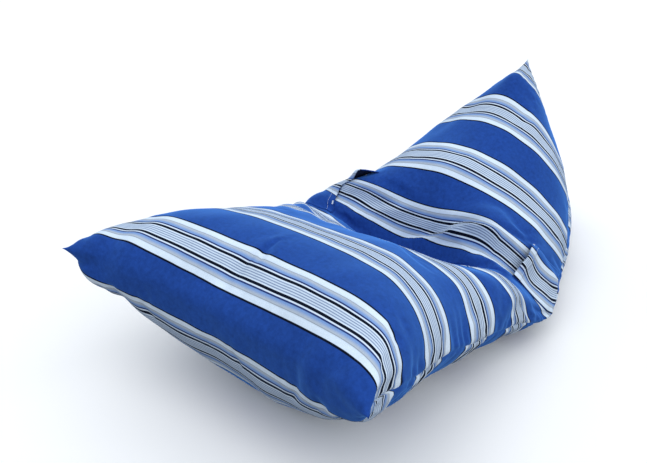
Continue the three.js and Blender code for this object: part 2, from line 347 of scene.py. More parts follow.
def away_from_corners(points, reach):
    """0 at the four corners, where layers of hem leave no room for folds, and 1 farther off."""
    calm = np.ones(points.shape[:-1])
    for corner in CORNERS:
        distance = np.linalg.norm(points - corner, axis=-1)
        calm *= 1 - np.exp(-(distance / reach) ** 2)
    return calm


coarse = cloth_grid(RUNS, SEAT_COLUMNS)
print("coarse cloth", coarse.shape, "lowest", coarse[..., 2].min(), "highest", coarse[..., 2].max())

# %% [markdown]
# ## One closed skin
#
# The two grids are the same cloth, so where they meet they must share their
# points. Merging by distance would do it, but it could also close the narrow
# corners, where different points lie very close together. So each place of the
# grid gets a number, and places that are really one point get the same one.


# %% Join the grid into one closed skin
def place_numbers(rings, columns):
    """One number for each place of the grid, the same where the cloth is joined."""
    side, ring, column = np.indices((2, rings, columns))
    folded = np.minimum(column, columns - 1 - column)
    column = np.where(ring == 0, folded, column)
    is_joined = (column == 0) | (column == columns - 1) | (ring == rings - 1)
    side = np.where(is_joined, 0, side)
    keys = (side * rings + ring) * columns + column
    return np.unique(keys, return_inverse=True)[1].reshape(keys.shape)


def joined(values, numbers):
    """Averages a grid's values where several places of it are one point."""
    count = numbers.max() + 1
    flat = values.reshape(numbers.size, -1)
    total = np.zeros((count, flat.shape[1]))
    np.add.at(total, numbers.ravel(), flat)
    shared = np.bincount(numbers.ravel(), minlength=count)
    return total / shared[:, None]


def grid_faces(numbers):
    """Four-sided faces that point out, and the grid places of their corners."""
    places = np.arange(numbers.size).reshape(numbers.shape)
    around = [places[:, :-1, :-1], places[:, :-1, 1:], places[:, 1:, 1:], places[:, 1:, :-1]]
    corners = np.stack(around, axis=-1)
    corners[1] = corners[1, :, :, ::-1]
    return corners.reshape(-1, 4)


def skin_object(name, grid):
    """A closed mesh object over the grid, with its places and its face corners."""
    numbers = place_numbers(*grid.shape[1:3])
    corners = grid_faces(numbers)
    mesh = bpy.data.meshes.new(name)
    mesh.from_pydata(joined(grid, numbers).tolist(), [], numbers.ravel()[corners].tolist())
    mesh.shade_smooth()
    skin = bpy.data.objects.new(name, mesh)
    bpy.context.collection.objects.link(skin)
    return skin, numbers, corners


def read_points(mesh, what="co"):
    """The mesh's points, or their normals, as an array."""
    values = np.empty(len(mesh.vertices) * 3, np.float32)
    mesh.vertices.foreach_get(what, values)
    return values.reshape(-1, 3).astype(float)


def write_points(mesh, points):
    """Moves the mesh's points to the given places."""
    mesh.vertices.foreach_set("co", np.asarray(points, np.float32).ravel())
    mesh.update()


coarse_skin, coarse_numbers, coarse_corners = skin_object("coarse_skin", coarse)
print("coarse skin", len(coarse_skin.data.vertices), "points", len(coarse_corners), "faces")

# %% [markdown]
# ## Let the beads fill the cloth
#
# The table gives a smooth balloon. Real cloth has a little more length than it
# needs, and it is held at its seams and where it lies on the ground, so it
# wrinkles between them. Blender's cloth simulation does this here: the sewn and
# resting points are pinned, the cloth is made slightly longer than its shape,
# and pressure holds it out like the beads, with no gravity. The table already
# gives the right fullness, so only the wrinkles are kept: what moved evenly
# over a hand's width is taken off again, and how far a point may move is capped.

# %% Fill the skin
START_INSIDE = 3 * MM
MOVE_CAP = 9 * MM
FILL_FRAMES = 20
RESTING_BELOW = 1 * MM
FLOOR_BLEND = 40 * MM
PIN_ROUNDS = 4
EVEN_ROUNDS = 140
CORNER_REACH = 80 * MM
TINY = 1e-9
CLOTH_SETTINGS = {
    "quality": 5,
    "mass": 0.3,
    "tension_stiffness": 18,
    "compression_stiffness": 12,
    "shear_stiffness": 6,
    "bending_stiffness": 1.2,
    "shrink_min": -0.022,
    "vertex_group_mass": "held",
    "use_pressure": True,
    "uniform_pressure_force": 4.0,
}


def pinned_points(numbers, rest):
    """The sewn points of the skin and the points that lie on the ground."""
    sewn = set(numbers[:, :, SEAT_COLUMNS].ravel()) | set(numbers[:, -1, :].ravel())
    resting = set(np.nonzero(rest[:, 2] < RESTING_BELOW)[0])
    return [int(i) for i in sorted(sewn | resting)]


def run_cloth(skin, pins):
    """Runs the cloth simulation and returns where the points end."""
    group = skin.vertex_groups.new(name=CLOTH_SETTINGS["vertex_group_mass"])
    group.add(pins, 1.0, "REPLACE")
    cloth = skin.modifiers.new("fill", "CLOTH")
    for setting, value in CLOTH_SETTINGS.items():
        setattr(cloth.settings, setting, value)
    cloth.settings.effector_weights.gravity = 0
    cloth.collision_settings.use_collision = False
    cloth.point_cache.frame_end = FILL_FRAMES
    for number in range(1, FILL_FRAMES + 1):
        bpy.context.scene.frame_set(number)
    shown = skin.evaluated_get(bpy.context.evaluated_depsgraph_get())
    ends = read_points(shown.data)
    skin.modifiers.remove(cloth)
    bpy.context.scene.frame_set(1)
    return ends


def evened(values, mesh, rounds):
    """Values on the mesh's points, averaged with their neighbours again and again."""
    ends = np.empty(len(mesh.edges) * 2, np.int32)
    mesh.edges.foreach_get("vertices", ends)
    first, second = ends.reshape(-1, 2).T
    count = np.bincount(ends, minlength=len(values))[:, None]
    for _ in range(rounds):
        total = np.zeros_like(values)
        for axis in range(values.shape[1]):
            total[:, axis] += np.bincount(first, values[second, axis], len(values))
            total[:, axis] += np.bincount(second, values[first, axis], len(values))
        values = 0.5 * values + 0.5 * total / count
    return values


def capped(moves, cap):
    """Moves no longer than the cap, shortened smoothly."""
    sizes = np.linalg.norm(moves, axis=1, keepdims=True)
    return moves * cap * np.tanh(sizes / cap) / np.maximum(sizes, TINY)


def wrinkles(skin, numbers):
    """How far each point of the skin moves for the wrinkles alone."""
    rest = read_points(skin.data)
    normals = read_points(skin.data, "normal")
    pins = pinned_points(numbers, rest)
    is_loose = np.ones((len(rest), 1))
    is_loose[pins] = 0
    is_free = np.clip(rest[:, 2] / FLOOR_BLEND, 0, 1)[:, None]
    inside = START_INSIDE * is_free * evened(is_loose, skin.data, PIN_ROUNDS)
    write_points(skin.data, rest - normals * inside)
    moves = run_cloth(skin, pins) - rest
    write_points(skin.data, rest)
    slow = evened(moves, skin.data, EVEN_ROUNDS)
    print("moved", np.abs(moves).max(), "of which slow", np.abs(slow).max())
    calm = away_from_corners(rest, CORNER_REACH)[:, None]
    return capped(moves - slow, MOVE_CAP) * is_free * calm


moves = wrinkles(coarse_skin, coarse_numbers)
print("the cloth moved", round(float(np.linalg.norm(moves, axis=1).max()), 4), "m at most")

# %% [markdown]
# ## A finer grid
#
# The simulation takes much longer with more points, so it ran on a coarse grid.
# Its moves are now carried to a grid twice as fine. A Subdivision Surface would
# shrink the cloth and round its corners, so the new places between four old
# ones in a row are put on the cubic through all four instead.


# %% A finer grid through the swollen cloth
def refine(values, axis):
    """The same grid, twice as fine along one axis. Each new place weighs four old ones."""
    rows = np.moveaxis(values, axis, 0)
    longer = np.concatenate([2 * rows[:1] - rows[1:2], rows, 2 * rows[-1:] - rows[-2:-1]])
    between = (9 * (longer[1:-2] + longer[2:-1]) - longer[:-3] - longer[3:]) / 16
    finer = np.empty((2 * len(rows) - 1, *rows.shape[1:]))
    finer[0::2] = rows
    finer[1::2] = between
    return np.moveaxis(finer, 0, axis)


FINE_RUNS = refine(RUNS, 0)
FINE_COLUMNS = 2 * SEAT_COLUMNS
move_grid = moves[coarse_numbers]
fine = cloth_grid(FINE_RUNS, FINE_COLUMNS) + refine(refine(move_grid, 1), 2)
fine[..., 2] = np.maximum(fine[..., 2], 0)
bpy.data.objects.remove(coarse_skin)
print("fine cloth", fine.shape)

# %% [markdown]
# ## Cloth coordinates
#
# Laid flat, the cloth is one rectangle: the seat is its upper half, the
# underside is its lower half, and the fold is the line between. A place on it
# has two coordinates, across from the middle line and along from the fold,
# with along counted below zero on the underside. Creases, puckers and stripes
# are all placed in these two.

# %% Coordinates across and along
rings, columns = fine.shape[1:3]
side_sign = np.array(SIDES)[:, None, None]
column_index = np.arange(columns)[None, None, :]
from_middle = np.minimum(column_index, columns - 1 - column_index) / FINE_COLUMNS
ACROSS = np.broadcast_to(side_sign * HALF_CLOTH * from_middle, fine.shape[:3])
RUN = np.broadcast_to(FINE_RUNS[None, :, None], fine.shape[:3])
IS_SEAT = np.broadcast_to(column_index <= FINE_COLUMNS, fine.shape[:3])
ALONG = np.where(IS_SEAT, RUN, -RUN)
print("across", ACROSS.min(), ACROSS.max(), "along", ALONG.min(), ALONG.max())

# %% [markdown]
# ## Creases
#
# Filled cloth is never quite smooth. The corners fold into ears, the side seams
# gather the cloth into short puckers, and long soft folds run to where it is
# pulled. They could be sculpted with a brush, but a table is easier to correct.
# Each row is one crease: its two ends in cloth coordinates, its half width, and
# its height, which is below zero for a trough. Millimetres.

# %% Creases listed one by one
# below 1, a crease keeps its height nearly to its ends
CREASE_ENDS = 0.75
CREASE_COLUMNS = ("across_1", "along_1", "across_2", "along_2", "width", "height")
CREASES = (
    # the far front corner, an ear with a soft valley behind it
    (-302, 190, -352, -40, 34, -10),
    (-252, 190, -290, -20, 34, 4),
    (-425, 150, -400, 10, 30, -9),
    (-330, -120, -400, -40, 42, 15),
    (-285, -150, -300, -40, 26, -6),
    # the near front corner
    (246, 70, 236, -70, 26, -3),
    (276, 60, 270, -70, 26, 2.5),
    (312, 70, 318, -80, 24, -3),
    (352, 85, 330, 20, 14, -2),
    (445, 190, 432, 50, 26, -9),
    (445, -190, 432, -50, 30, -9),
    (360, -100, 250, -210, 36, -6),
    # the middle of the front, under the fold
    (-60, -60, 60, -240, 60, -5),
    (120, -60, 90, -260, 40, 4),
    # beside the crease of the seat
    (300, 1092, 182, 1050, 18, -9),
    (235, 1135, 120, 1095, 26, 4),
    (378, 880, 420, 960, 16, -6),
    (395, 840, 428, 905, 13, 4),
    (-190, 1120, -60, 1060, 26, -6),
    (-300, 870, -150, 900, 30, -6),
    (-70, 930, 60, 985, 22, -6),
    # the seat
    (-260, 360, 40, 470, 60, -5),
    (300, 380, 160, 560, 50, -4),
    (-330, 640, -90, 700, 40, -5),
    # the back, where the cloth hangs from the peak
    (-130, 1210, 40, 1240, 46, -4),
    (150, 1300, 60, 1560, 36, -4),
    (-150, 1320, -40, 1600, 36, -5),
    (0, 1330, 10, 1640, 40, 3),
    # the rear flanks and the foot of the back seam
    (300, -1150, 420, -820, 60, -8),
    (180, -1500, 330, -1280, 44, -8),
    (330, -1540, 240, -1330, 36, 6),
    (-300, -1150, -420, -820, 60, -8),
    (-180, -1500, -330, -1280, 44, -8),
    (-330, -1540, -250, -1330, 36, 6),
    (120, -1690, 150, -1480, 30, -8),
    (-120, -1690, -140, -1480, 30, -8),
)


def crease_height(across, along, row):
    """One crease's height over the cloth: a soft ridge or trough between two points."""
    crease = dict(zip(CREASE_COLUMNS, np.array(row) * MM))
    start = np.array((crease["across_1"], crease["along_1"]))
    way = np.array((crease["across_2"], crease["along_2"])) - start
    length = np.linalg.norm(way)
    x, y = across - start[0], along - start[1]
    share = (x * way[0] + y * way[1]) / length**2
    beside = (x * way[1] - y * way[0]) / length
    lengthwise = np.clip(1 - (2 * share - 1) ** 2, 0, None) ** CREASE_ENDS
    lengthwise[(share < 0) | (share > 1)] = 0
    return crease["height"] * lengthwise * np.exp(-(beside / crease["width"]) ** 2)


height = sum(crease_height(ACROSS, ALONG, row) for row in CREASES)
print(len(CREASES), "creases, from", round(height.min(), 4), "to", round(height.max(), 4), "m")

# %% [markdown]
# ## The full left flank
#
# The left flank stands out behind its pocket, as a broad round swell. A crease
# is too narrow for this and follows the cloth's normals, so the swells have a
# table of their own, and both push the cloth one way, out and up.

# %% Swells
SWELL_COLUMNS = ("across", "along", "turn", "length", "width", "height")
SWELLS = (
    # millimetres, but for the turn, which is in degrees
    (-352, 950, 45, 100, 62, 57),
    (-240, 990, -10, 80, 40, 14),
)
SWELL_WAY = np.array((-0.55, 0.0, 0.83))


def swell_height(across, along, row):
    """A rounded swell that is longer one way than the other."""
    swell = dict(zip(SWELL_COLUMNS, row))
    turn = math.radians(swell["turn"])
    x, y = across - swell["across"] * MM, along - swell["along"] * MM
    lengthwise = (x * math.cos(turn) + y * math.sin(turn)) / (swell["length"] * MM)
    beside = (y * math.cos(turn) - x * math.sin(turn)) / (swell["width"] * MM)
    return swell["height"] * MM * np.exp(-lengthwise**2 - beside**2)


swollen = sum(swell_height(ACROSS, ALONG, row) for row in SWELLS)
fine = fine + swollen[..., None] * SWELL_WAY
print(len(SWELLS), "swells, up to", round(swollen.max(), 4), "m")

# %% [markdown]
# ## Seams
#
# A seam that was sewn inside out shows as a narrow groove. The thread is
# shorter than the cloth, so the cloth gathers into puckers at right angles to
# it, which die away within a hand's width. Their spacing is uneven, so it is
# made of two waves that don't keep step.

# %% Grooves and puckers
SIDE_GROOVE = {"depth": 5 * MM, "width": 6 * MM}
BACK_GROOVE = {"depth": 7 * MM, "width": 8 * MM}
PUCKER_FADE = 45 * MM
SIDE_PUCKER = 2.6 * MM
BACK_PUCKER = 4.5 * MM
# length of each wave along the seam, and its share
PUCKER_WAVES = ((31 * MM, 0.6), (47 * MM, 0.4))
# beside the back seam the puckers start this many times faster than they fade
PUCKER_START = 4
# the gathering is stronger and weaker by turns along the side seams, in a wave whose
# length over 2 pi is the last of these
GATHER_MEAN = 0.55
GATHER_SWING = 0.45
GATHER_WAVE = 210 * MM
# the puckers of the two flanks don't face each other
SIDE_STEP = 40 * MM
BACK_STEP = 50 * MM
# the waves run this far down the back seam, more than its length, so they come closer
BACK_WAVE_SPAN = 1100 * MM


def pucker_wave(place):
    """An uneven wave between about -1 and 1."""
    return sum(share * np.sin(2 * math.pi * place / wave) for wave, share in PUCKER_WAVES)


def near(distance, width):
    """1 on a line, dying away with distance."""
    return np.exp(-(distance / width) ** 2)


from_side_seam = HALF_CLOTH - np.abs(ACROSS)
from_back_seam = POUCH_LENGTH - RUN
in_side_groove = near(from_side_seam, SIDE_GROOVE["width"])
height = height - SIDE_GROOVE["depth"] * in_side_groove
height = height - BACK_GROOVE["depth"] * near(from_back_seam, BACK_GROOVE["width"])

gathers = GATHER_MEAN + GATHER_SWING * np.sin(RUN / GATHER_WAVE + side_sign)
side_fade = (1 - in_side_groove) * np.exp(-from_side_seam / PUCKER_FADE)
side_wave = pucker_wave(RUN + SIDE_STEP * side_sign)
height = height + SIDE_PUCKER * gathers * side_wave * side_fade

down_back_seam = BACK_WAVE_SPAN * column_index / (columns - 1)
back_distance = from_back_seam / PUCKER_FADE
back_fade = np.exp(-back_distance) - np.exp(-PUCKER_START * back_distance)
height = height + BACK_PUCKER * pucker_wave(down_back_seam + BACK_STEP * side_sign) * back_fade
print("with seams, from", round(height.min(), 4), "to", round(height.max(), 4), "m")

# %% [markdown]
# ## The pleat beside the crease
#
# Where the back meets the seat, the cloth has slid over itself: a flap from the
# right lies on the cloth to its left, and the stripes jump at its edge. A second
# sheet over the first would need its own seams. Instead the edge is a short
# line in cloth coordinates: on its right the cloth stands proud and slopes away
# slowly, and the hidden width shifts the stripes there.

# %% The pleat
# places along the pleat's edge, across and along
PLEAT_EDGE = np.array((
    (-75, 925), (-47, 940), (9, 962), (60, 992), (104, 1020), (133, 1032), (181, 1040), (215, 1042),
)) * MM
PLEAT_HEIGHT = 9 * MM
PLEAT_FADE = 45 * MM
PLEAT_STEP = 5 * MM
PLEAT_SHIFT = 20 * MM
SHIFT_FADE = 150 * MM
# keeps the exponential of the soft step within what a number can hold
STEP_LIMIT = 50


def soft_step(distance, width):
    """0 before a line and 1 behind it, with a smooth step of about that width."""
    return 1 / (1 + np.exp(-np.clip(4 * distance / width, -STEP_LIMIT, STEP_LIMIT)))


def pleat_distance(across, along):
    """How far in front of the slanting edge, on its right, and a mask that fades at its ends."""
    edge_along = smooth_value(PLEAT_EDGE[:, 0], PLEAT_EDGE[:, 1], across)
    is_between = (across > PLEAT_EDGE[0, 0]) & (across < PLEAT_EDGE[-1, 0])
    middle = (PLEAT_EDGE[0, 0] + PLEAT_EDGE[-1, 0]) / 2
    span = (PLEAT_EDGE[-1, 0] - PLEAT_EDGE[0, 0]) / 2
    mask = np.clip(1 - ((across - middle) / span) ** 4, 0, 1)
    return edge_along - along, np.where(is_between, mask, 0)


beyond, pleat_mask = pleat_distance(ACROSS, ALONG)
over = pleat_mask * soft_step(beyond, PLEAT_STEP)
behind_edge = np.clip(beyond, 0, None)
height = height + PLEAT_HEIGHT * over * np.exp(-behind_edge / PLEAT_FADE)
stripe_shift = PLEAT_SHIFT * over * np.exp(-behind_edge / SHIFT_FADE)
print("pleat reaches", round(float(over.max()), 3), "of its height")

# %% [markdown]
# ## Where the cloth has slid
#
# A weave gives when it is pulled askew, most of all at the front corners, so
# there the stripes don't follow the grid exactly. The shape stays as it is:
# only the coordinate that paints the stripes slides along the cloth.

# %% Slides of the stripes
# distance along the cloth, then the slide at the right and at the left front corner
CORNER_DRIFT = np.array((
    (-220, 0, 0), (-120, 14, 6), (-61, 23, 10), (0, 9, 0),
    (60, -5, -8), (120, -7, -5), (182, -6, -3), (300, 0, 0),
)) * MM
DRIFT_REACH = 130 * MM
SLIDE_COLUMNS = ("across", "along", "reach_across", "reach_along", "slide")
SLIDES = (
    # beside the crease, left and right, in millimetres
    (-205, 795, 65, 65, 42),
    (-335, 870, 55, 55, -24),
    (345, 1140, 100, 48, 22),
)


def corner_drift(side):
    """Slide of the stripes near one front corner, where the cloth gives most."""
    slide = smooth_value(CORNER_DRIFT[:, 0], CORNER_DRIFT[:, 1 if side > 0 else 2], ALONG)
    from_corner = HALF_CLOTH - side * ACROSS
    return slide / (1 + (from_corner / DRIFT_REACH) ** 4)


def slide_here(across, along, row):
    """Slide of the stripes round one place, dying away with distance."""
    place = dict(zip(SLIDE_COLUMNS, np.array(row) * MM))
    x = (across - place["across"]) / place["reach_across"]
    y = (along - place["along"]) / place["reach_along"]
    return place["slide"] * np.exp(-(np.hypot(x, y) ** 2))


stripe_drift = sum(corner_drift(side) for side in SIDES)
stripe_drift = stripe_drift + sum(slide_here(ACROSS, ALONG, row) for row in SLIDES)
print("stripes slide", round(stripe_drift.min(), 4), "to", round(stripe_drift.max(), 4), "m")

# %% [markdown]
# ## Lumps of the filling
#
# Loose beads settle unevenly, so a filled bag is slightly lumpy. A noise
# texture with a Displace modifier could do this, but a few slow waves that
# cross each other are enough, and they can fade out at the seams and corners.

# %% Lumps
# length of a wave across and along the cloth, in metres, and where it starts, in radians
LUMP_WAVES = ((0.31, 0.23, 0.4), (0.17, 0.36, 2.1), (0.12, 0.14, 4.4), (0.09, 0.19, 1.2))
LUMP_HEIGHT = 2.2 * MM
SEAM_CALM = 40 * MM
CORNER_CALM = 35 * MM


def lumps(across, along):
    """A few slow waves that cross each other."""
    total = np.zeros(across.shape)
    for wide, long, phase in LUMP_WAVES:
        over_width = np.sin(2 * math.pi * across / wide + phase)
        total += over_width * np.cos(2 * math.pi * along / long - phase)
    return total / len(LUMP_WAVES)


height = height + LUMP_HEIGHT * lumps(ACROSS, ALONG) * (1 - near(from_side_seam, SEAM_CALM))
height = height * away_from_corners(fine, CORNER_CALM)
print("finished heights from", round(height.min(), 4), "to", round(height.max(), 4), "m")

# %% [markdown]
# ## The finished skin
#
# The heights are applied along the cloth's own normals, and they fade out where
# the underside is pressed on the ground. Then the mesh gets its texture
# coordinates from the cloth coordinates, face corner by face corner, because
# the seat and the underside meet at the side seam with different ones.


# %% Build the pouch
def press_on_ground(points, rest):
    """Heights die away where the cloth lay on the ground, and nothing goes below it."""
    is_free = np.clip(rest[:, 2:] / FLOOR_BLEND, 0, 1)
    moved = rest + (points - rest) * is_free
    moved[:, 2] = np.maximum(moved[:, 2], 0)
    return moved


def build_pouch():
    """The pouch with all its heights, its grid's point numbers and its face corners."""
    pouch, numbers, corners = skin_object("striped_pouch", fine)
    rest = read_points(pouch.data)
    normals = read_points(pouch.data, "normal")
    risen = rest + normals * joined(height, numbers)
    write_points(pouch.data, press_on_ground(risen, rest))
    return pouch, numbers, corners


def add_cloth_uv(piece, corner_across, corner_along):
    """Writes cloth coordinates, in metres, to the piece's own UV map."""
    layer = piece.data.uv_layers.new(name="cloth")
    pairs = np.stack([np.ravel(corner_across), np.ravel(corner_along)], axis=-1)
    layer.data.foreach_set("uv", pairs.astype(np.float32).ravel())


pouch, fine_numbers, fine_corners = build_pouch()
corner_column = np.broadcast_to(column_index, fine.shape[:3]).reshape(-1)[fine_corners]
is_under_face = corner_column.max(axis=1, keepdims=True) > FINE_COLUMNS
corner_run = RUN.reshape(-1)[fine_corners]
corner_shift = stripe_shift.reshape(-1)[fine_corners]
corner_slide = stripe_drift.reshape(-1)[fine_corners]
corner_along = np.where(is_under_face, -corner_run, corner_run - corner_shift) + corner_slide
add_cloth_uv(pouch, ACROSS.reshape(-1)[fine_corners], corner_along)
print("pouch", len(pouch.data.vertices), "points", len(pouch.data.polygons), "faces")

# %% [markdown]
# ## Patch pockets
#
# Each pocket is one patch of the same cloth. Its mouth faces the seat and is
# hemmed, and its other three edges are sewn to the flank, the outer one in the
# side seam. A plane could be draped over the flank by simulation, but then its
# sewn edges would have to be pinned to a bumpy surface point by point. So the
# patch is a thin sheet that follows the flank's own surface. Its mouth is a
# line of places, each with how far it stands off, and that lift dies away
# behind the mouth, so the sewn edges lie close against the pouch.

# %% Where the pockets are
POCKETS = {
    "pocket_right": {
        "side": 1,
        # places along the mouth in millimetres: run, across, and how far it stands off the flank
        "mouth": (
            (934, 283, 0), (956, 274, 20), (978, 268, 35), (1012, 282, 27), (1056, 287, 14),
            (1070, 289, 8), (1086, 293, 0),
        ),
        # the way in which the mouth stands off
        "opens": (0.77, -0.05, 0.63),
        # runs at which the patch starts and ends along the side seam
        "seam": (977 * MM, 1110 * MM),
        # how far the cloth hangs down between mouth and seam
        "sag": 9 * MM,
        # how far behind the mouth the lift dies away
        "slack": 42 * MM,
        # a soft bulge, and how far the stripes are out of step with the pouch's
        "belly": {"place": (360 * MM, 1010 * MM), "reach": 50 * MM, "height": 3 * MM},
        "shift": 6 * MM,
    },
    "pocket_left": {
        "side": -1,
        "mouth": (
            (868, 287, 0), (925, 282, 0), (959, 289, 1), (1003, 277, 1), (1037, 251, 2),
            (1048, 240, 5), (1070, 210, 32), (1095, 199, 20), (1124, 186, 0),
        ),
        "opens": (-0.45, -0.28, 0.85),
        "seam": (890 * MM, 1118 * MM),
        "sag": 0,
        "slack": 34 * MM,
        "belly": {"place": (345 * MM, 975 * MM), "reach": 55 * MM, "height": 15 * MM},
        "shift": -19 * MM,
    },
}


def flank_points(side, runs, across):
    """Places of one flank's finished skin at any run and distance across."""
    skin = read_points(pouch.data)[fine_numbers[0 if side > 0 else 1]][:, :FINE_COLUMNS + 1]
    ring = np.interp(runs, FINE_RUNS, np.arange(rings))
    column = across / HALF_CLOTH * FINE_COLUMNS
    i = np.clip(ring.astype(int), 0, rings - 2)
    j = np.clip(column.astype(int), 0, FINE_COLUMNS - 1)
    u, v = (ring - i)[..., None], (column - j)[..., None]
    near_ring = (1 - v) * skin[i, j] + v * skin[i, j + 1]
    far_ring = (1 - v) * skin[i + 1, j] + v * skin[i + 1, j + 1]
    return (1 - u) * near_ring + u * far_ring


for node_name, pocket in POCKETS.items():
    ends = pocket["mouth"][0][0], pocket["mouth"][-1][0]
    print(node_name, "has its mouth from", ends[0], "to", ends[1], "mm from the front fold")

# %% The mouth and the hem
POCKET_ROWS = 48
POCKET_COLUMNS = 40
MOUTH_ROUNDS = 1
# the hem is the first few columns, and a narrow step parts it from the rest
HEM_COLUMNS = 5
HEM_WIDTH = 20 * MM
HEM_STEP = 1.0 * MM
HEM_ROUNDS = 30
# a slanting mouth needs a wider hem across the cloth, up to this slope
STEEPEST = 1.2


def eased(values, rounds):
    """A row of values evened with their neighbours. Its two ends stay."""
    for _ in range(rounds):
        values[1:-1] = 0.5 * values[1:-1] + 0.25 * (values[:-2] + values[2:])
    return values


def mouth_line(pocket):
    """Run, distance across and lift of even places along a mouth."""
    mouth = np.array(pocket["mouth"]) * MM
    return eased(divide(mouth, np.linspace(0, 1, POCKET_ROWS + 1)), MOUTH_ROUNDS)


def inward_distances(mouth):
    """Distances from the mouth towards the side seam, with the hem in the first columns."""
    slope = np.gradient(mouth[:, 1]) / np.gradient(mouth[:, 0])
    hem = eased(HEM_WIDTH * np.sqrt(1 + np.minimum(np.abs(slope), STEEPEST) ** 2), HEM_ROUNDS)
    rest = HALF_CLOTH - mouth[:, 1] - hem - HEM_STEP
    in_hem = np.outer(hem, np.linspace(0, 1, HEM_COLUMNS + 1))
    in_rest = np.outer(rest, np.linspace(0, 1, POCKET_COLUMNS - HEM_COLUMNS))
    return np.concatenate([in_hem, hem[:, None] + HEM_STEP + in_rest], axis=1)


right_mouth = mouth_line(POCKETS["pocket_right"])
print("grid of the right pocket", inward_distances(right_mouth).shape)

# %% The surface of one patch
SEWN_GAP = 1.0 * MM
# how often the normals of the flank and of the patch are evened
FLANK_ROUNDS = 12
PATCH_ROUNDS = 2


def outward_normals(points, side):
    """Normals of a patch of the flank, pointing out."""
    along = np.gradient(points, axis=0)
    across = np.gradient(points, axis=1)
    normals = np.cross(along, across) * -side
    return normals / np.linalg.norm(normals, axis=-1, keepdims=True)


def smoothed(vectors, rounds):
    """A grid of vectors evened with their neighbours. Its rim stays."""
    for _ in range(rounds):
        inner = vectors[1:-1, 1:-1]
        beside = vectors[1:-1, :-2] + vectors[1:-1, 2:]
        ring = vectors[:-2, 1:-1] + vectors[2:, 1:-1] + beside
        vectors[1:-1, 1:-1] = 0.5 * inner + 0.125 * ring
    return vectors


def pocket_surface(pocket):
    """Middle surface of one patch, its outward normals, and its coordinates along and across."""
    mouth = mouth_line(pocket)
    inside = inward_distances(mouth)
    across = mouth[:, 1:2] + inside
    share = inside / inside[:, -1:]
    along = mouth[:, :1] + pocket["shift"]
    row_share = (along - along[0]) / (along[-1] - along[0])
    seam_runs = pocket["seam"][0] + (pocket["seam"][1] - pocket["seam"][0]) * row_share
    runs = mouth[:, :1] * (1 - share) + seam_runs * share - pocket["sag"] * 4 * share * (1 - share)
    base = flank_points(pocket["side"], runs, across)
    normals = smoothed(outward_normals(base, pocket["side"]), FLANK_ROUNDS)
    belly = pocket["belly"]
    away = np.hypot(across - belly["place"][0], runs - belly["place"][1]) / belly["reach"]
    is_loose = (1 - (2 * row_share - 1) ** 4) * (1 - share**4)
    lift = SEWN_GAP + belly["height"] * np.exp(-(away**2)) * is_loose
    opening = mouth[:, 2:3] * np.exp(-((inside / pocket["slack"]) ** 2))
    middle = base + normals * lift[..., None] + opening[..., None] * np.array(pocket["opens"])
    normals = smoothed(outward_normals(middle, pocket["side"]), PATCH_ROUNDS)
    normals /= np.linalg.norm(normals, axis=-1, keepdims=True)
    return middle, normals, np.broadcast_to(along, across.shape), across


right_middle = pocket_surface(POCKETS["pocket_right"])[0]
print("right mouth from", np.round(right_middle[0, 0], 3), "to", np.round(right_middle[-1, 0], 3))

# %% The pocket sheets
POCKET_CLOTH = 1.6 * MM
HEM_EXTRA = 1.2 * MM
# slots of the two materials: the striped face, and a near-black one on the inner faces, which is painted
# shade inside the pocket
STRIPED_SLOT = 0
SHADE_INSIDE_SLOT = 1


def sheet_faces(rows, cols):
    """Faces of two layers of a grid, the inner layer's places first, joined round the rim."""
    inner, outer = np.arange(2 * rows * cols).reshape(2, rows, cols)
    groups = (
        (outer[:-1, :-1], outer[:-1, 1:], outer[1:, 1:], outer[1:, :-1]),
        (inner[:-1, :-1], inner[1:, :-1], inner[1:, 1:], inner[:-1, 1:]),
        (inner[:-1, 0], outer[:-1, 0], outer[1:, 0], inner[1:, 0]),
        (inner[1:, -1], outer[1:, -1], outer[:-1, -1], inner[:-1, -1]),
        (inner[0, 1:], outer[0, 1:], outer[0, :-1], inner[0, :-1]),
        (inner[-1, :-1], outer[-1, :-1], outer[-1, 1:], inner[-1, 1:]),
    )
    return np.concatenate([np.stack(group, axis=-1).reshape(-1, 4) for group in groups])


def pocket_object(name, pocket):
    """A closed sheet: an outer and an inner face joined round the edges."""
    middle, normals, along, across = pocket_surface(pocket)
    rows, cols = middle.shape[:2]
    is_hem = np.arange(cols) <= HEM_COLUMNS
    inner_face = middle - normals * POCKET_CLOTH / 2
    thickness = POCKET_CLOTH + np.where(is_hem, HEM_EXTRA, 0)[None, :, None]
    outer_face = inner_face + normals * thickness
    faces = sheet_faces(rows, cols)
    if pocket["side"] < 0:
        faces = faces[:, ::-1]
    points = np.concatenate([inner_face.reshape(-1, 3), outer_face.reshape(-1, 3)])
    mesh = bpy.data.meshes.new(name)
    mesh.from_pydata(points.tolist(), [], faces.tolist())
    mesh.shade_smooth()
    patch = bpy.data.objects.new(name, mesh)
    bpy.context.collection.objects.link(patch)
    flat_across = np.tile(pocket["side"] * across.reshape(-1), 2)[faces]
    flat_along = np.tile(along.reshape(-1), 2)[faces]
    add_cloth_uv(patch, flat_across, flat_along)
    # the inner faces, but for those at the mouth, take the near-black material: painted shade inside the
    # pocket
    is_shaded_inside = (faces < rows * cols).all(axis=1) & (faces % cols > 0).all(axis=1)
    slots = np.where(is_shaded_inside, SHADE_INSIDE_SLOT, STRIPED_SLOT).astype(np.int32)
    mesh.polygons.foreach_set("material_index", slots)
    return patch, middle, outer_face, normals


pockets = {}
pocket_middles = {}
pocket_faces = {}
for node_name, pocket in POCKETS.items():
    patch, middle, outer_face, normals = pocket_object("patch_" + node_name, pocket)
    pockets[node_name] = patch
    pocket_middles[node_name] = middle
    pocket_faces[node_name] = (outer_face, normals)
    print(patch.name, len(patch.data.polygons), "faces")
